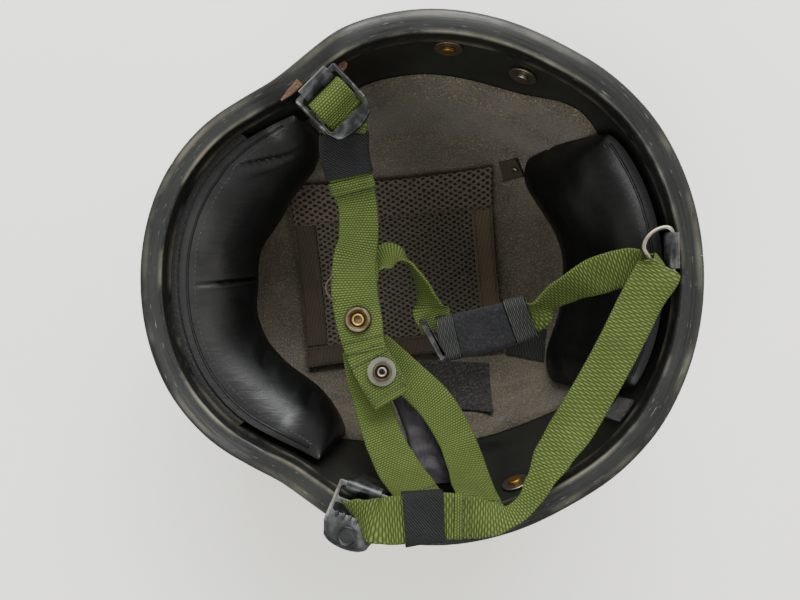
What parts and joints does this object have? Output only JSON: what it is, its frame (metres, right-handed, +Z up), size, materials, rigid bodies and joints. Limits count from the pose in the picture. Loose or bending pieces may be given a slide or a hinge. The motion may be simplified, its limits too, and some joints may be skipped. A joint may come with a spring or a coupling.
{
  "type": "ballistic helmet",
  "caption": "Padded ballistic helmet standing on its crown, with a rubber edge trim, felt liner, leather pads and a green webbing chin strap with buckles and press studs",
  "frame": {"origin": "middle of the base of the bounding box, on the floor under the crown", "axes": "+Z up out of the opening, +X to the nape, -X to the brow, +Y to the wearer's left ear"},
  "size_m": [0.2838, 0.2528, 0.1975],
  "materials": {
    "shell_paint": "black painted aramid laminate",
    "trim_rubber": "black extruded rubber",
    "liner_felt": "brown-grey loop felt",
    "pad_leather": "black smooth leather",
    "spacer_mesh": "dark brown spacer mesh",
    "black_cloth": "black woven cloth",
    "hook_tape": "black hook and loop tape",
    "velour": "black velour",
    "green_webbing": "olive green coarse webbing",
    "elastic": "black ribbed elastic",
    "vinyl": "dark grey coated cloth",
    "black_steel": "black enamelled steel",
    "bright_steel": "worn plated steel",
    "aged_brass": "aged brass"
  },
  "bodies": {
    "root": {"liner": "liner_felt", "edge_trim_left": "trim_rubber", "edge_trim_right": "trim_rubber", "brow_pad": "pad_leather", "nape_pad": "pad_leather", "brow_hook_strip": "hook_tape", "crown_pad": "spacer_mesh", "crown_pad_left_binding": "black_cloth", "crown_pad_right_binding": "black_cloth", "crown_pad_top_flap": "spacer_mesh", "crown_pad_bottom_binding": "black_cloth", "loop_patch": "hook_tape", "ribbed_tape": "elastic", "snap_tab": "black_cloth", "tab_snap": "bright_steel", "rear_hook_patch": "hook_tape", "left_buckle": "black_steel", "right_buckle": "black_steel", "left_clip": "black_steel", "right_clip": "black_steel", "ring_clip": "black_steel", "nape_ring": "bright_steel", "left_strap": "green_webbing", "rear_strap": "green_webbing", "arch_strap": "green_webbing", "chin_strap_left": "green_webbing", "chin_strap_right": "green_webbing", "chin_lining": "vinyl", "left_keeper": "elastic", "right_keeper": "elastic", "velour_sleeve": "velour", "sleeve_right_cuff": "elastic", "sleeve_left_cuff": "elastic", "snap_socket": "aged_brass", "stud_washer": "bright_steel", "snap_stud": "aged_brass", "slider": "black_steel", "left_ear_screw": "aged_brass", "left_ear_screw_washer": "bright_steel", "left_rear_screw": "bright_steel", "left_rear_screw_washer": "bright_steel", "right_rear_screw": "aged_brass", "right_rear_screw_washer": "bright_steel", "shell": "shell_paint"}
  },
  "joints": []
}
